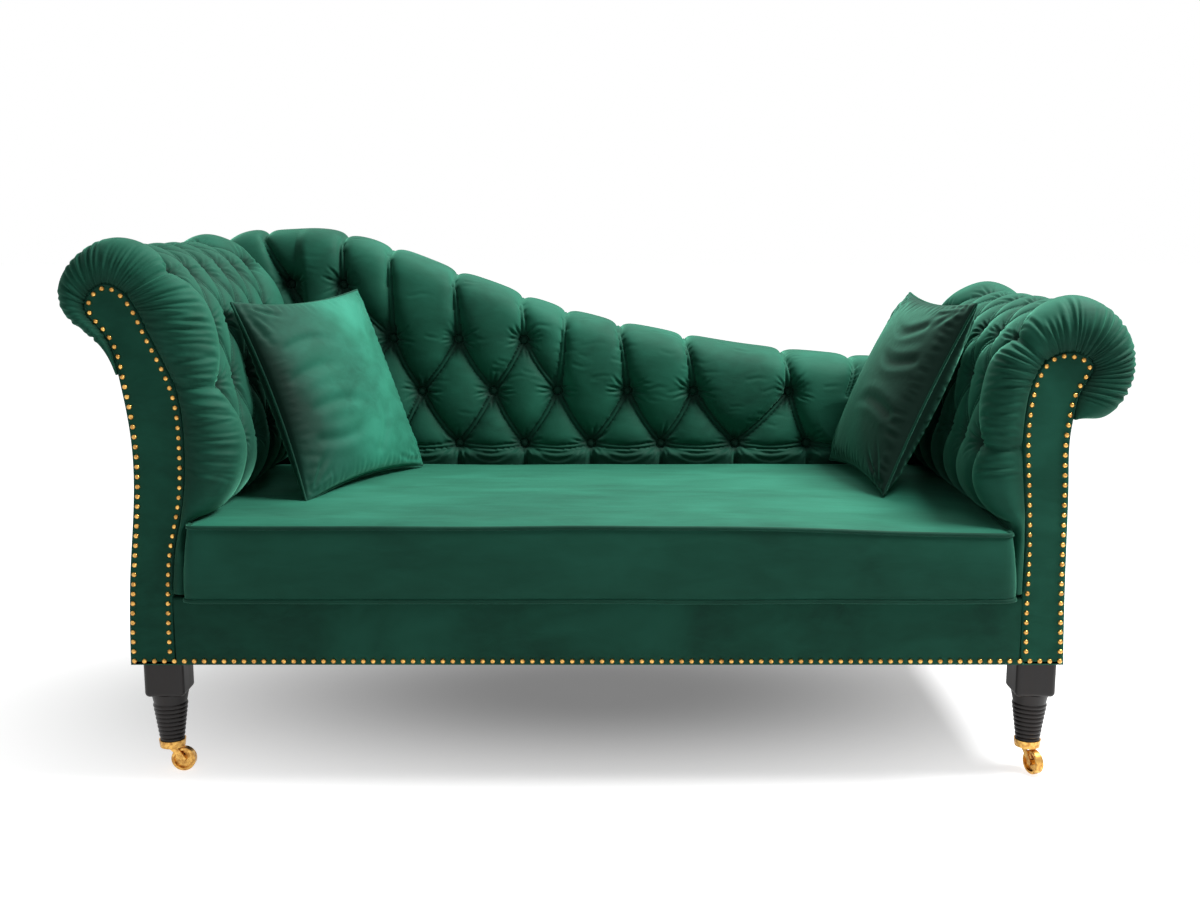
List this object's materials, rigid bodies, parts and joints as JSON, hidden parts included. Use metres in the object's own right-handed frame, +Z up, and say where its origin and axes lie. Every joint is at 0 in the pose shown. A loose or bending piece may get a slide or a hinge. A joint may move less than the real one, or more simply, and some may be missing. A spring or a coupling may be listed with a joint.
{
  "type": "fainting couch",
  "caption": "Button-tufted velvet fainting couch: one high and one low scroll arm, falling back, loose seat cushion, throw pillows, nailhead trim, ribbed legs on brass castors.",
  "frame": {"origin": "on the floor, under the middle of the couch's box", "axes": "+X along the couch towards its low arm, +Y from the front edge to the back, +Z up"},
  "size_m": [1.8009, 0.8303, 0.9482],
  "materials": {
    "velvet": "short-pile velvet, deep emerald",
    "dust_cloth": "thin black non-woven cloth",
    "deck_cloth": "plain woven cotton over a felt pad",
    "webbing": "woven jute strap",
    "frame_wood": "planed, unfinished hardwood",
    "leg_wood": "turned, dark stain with a satin clear coat",
    "brass": "polished, slightly aged",
    "steel": "bright drawn wire and zinc plate"
  },
  "bodies": {
    "couch_frame": {"back_buttons": "velvet", "back_pad": "velvet", "back_posts": "frame_wood", "back_top_rail": "frame_wood", "back_uprights": "frame_wood", "back_webbing": "webbing", "corner_blocks": "frame_wood", "dust_cover": "dust_cloth", "front_rail": "frame_wood", "front_rail_cover": "velvet", "hanger_bolts": "steel", "left_arm_buttons": "velvet", "left_arm_pad": "velvet", "left_end_panel": "velvet", "left_facing": "velvet", "left_facing_nails": "brass", "left_front_castor_socket": "brass", "left_front_leg": "leg_wood", "left_front_post": "frame_wood", "left_outer_panel": "velvet", "left_rear_castor_socket": "brass", "left_rear_facing": "velvet", "left_rear_leg": "leg_wood", "left_rear_post": "frame_wood", "rail_nails": "brass", "rear_cover": "velvet", "rear_rail": "frame_wood", "right_arm_buttons": "velvet", "right_arm_pad": "velvet", "right_end_panel": "velvet", "right_facing": "velvet", "right_facing_nails": "brass", "right_front_castor_socket": "brass", "right_front_leg": "leg_wood", "right_front_post": "frame_wood", "right_outer_panel": "velvet", "right_rear_castor_socket": "brass", "right_rear_facing": "velvet", "right_rear_leg": "leg_wood", "right_rear_post": "frame_wood", "scroll_rails": "frame_wood", "seat_braces": "frame_wood", "seat_deck": "deck_cloth", "seat_springs": "steel", "side_rails": "frame_wood", "spring_clips": "steel"},
    "seat": {"seat_cushion": "velvet"},
    "left_throw_pillow": {"left_pillow": "velvet"},
    "right_throw_pillow": {"right_pillow": "velvet"},
    "left_front_swivel": {"left_front_castor_fork": "brass"},
    "left_front_wheel": {"left_front_castor_wheel": "brass"},
    "right_front_swivel": {"right_front_castor_fork": "brass"},
    "right_front_wheel": {"right_front_castor_wheel": "brass"},
    "left_rear_swivel": {"left_rear_castor_fork": "brass"},
    "left_rear_wheel": {"left_rear_castor_wheel": "brass"},
    "right_rear_swivel": {"right_rear_castor_fork": "brass"},
    "right_rear_wheel": {"right_rear_castor_wheel": "brass"}
  },
  "joints": [
    {"name": "cushion_pull", "type": "slide", "parent": "couch_frame", "child": "seat", "axis": [0, -1, 0], "range_m": [0, 0.62]},
    {"name": "left_pillow_lift", "type": "slide", "parent": "seat", "child": "left_throw_pillow", "axis": [0, 0, 1], "range_m": [0, 0.42]},
    {"name": "right_pillow_lift", "type": "slide", "parent": "seat", "child": "right_throw_pillow", "axis": [0, 0, 1], "range_m": [0, 0.42]},
    {"name": "left_front_swivel_turn", "type": "hinge", "parent": "couch_frame", "child": "left_front_swivel", "pos_m": [-0.7645, -0.326, 0.046], "axis": [0, 0, 1], "continuous": true},
    {"name": "left_front_wheel_roll", "type": "hinge", "parent": "left_front_swivel", "child": "left_front_wheel", "pos_m": [-0.7455, -0.326, 0.0215], "axis": [0, 1, 0], "continuous": true},
    {"name": "right_front_swivel_turn", "type": "hinge", "parent": "couch_frame", "child": "right_front_swivel", "pos_m": [0.7645, -0.326, 0.046], "axis": [0, 0, 1], "continuous": true},
    {"name": "right_front_wheel_roll", "type": "hinge", "parent": "right_front_swivel", "child": "right_front_wheel", "pos_m": [0.771, -0.34385, 0.0215], "axis": [0.9397, 0.342, 0], "continuous": true},
    {"name": "left_rear_swivel_turn", "type": "hinge", "parent": "couch_frame", "child": "left_rear_swivel", "pos_m": [-0.7645, 0.361, 0.046], "axis": [0, 0, 1], "continuous": true},
    {"name": "left_rear_wheel_roll", "type": "hinge", "parent": "left_rear_swivel", "child": "left_rear_wheel", "pos_m": [-0.74728, 0.36903, 0.0215], "axis": [-0.4226, 0.9063, 0], "continuous": true},
    {"name": "right_rear_swivel_turn", "type": "hinge", "parent": "couch_frame", "child": "right_rear_swivel", "pos_m": [0.7645, 0.361, 0.046], "axis": [0, 0, 1], "continuous": true},
    {"name": "right_rear_wheel_roll", "type": "hinge", "parent": "right_rear_swivel", "child": "right_rear_wheel", "pos_m": [0.74665, 0.3675, 0.0215], "axis": [-0.342, -0.9397, 0], "continuous": true}
  ]
}
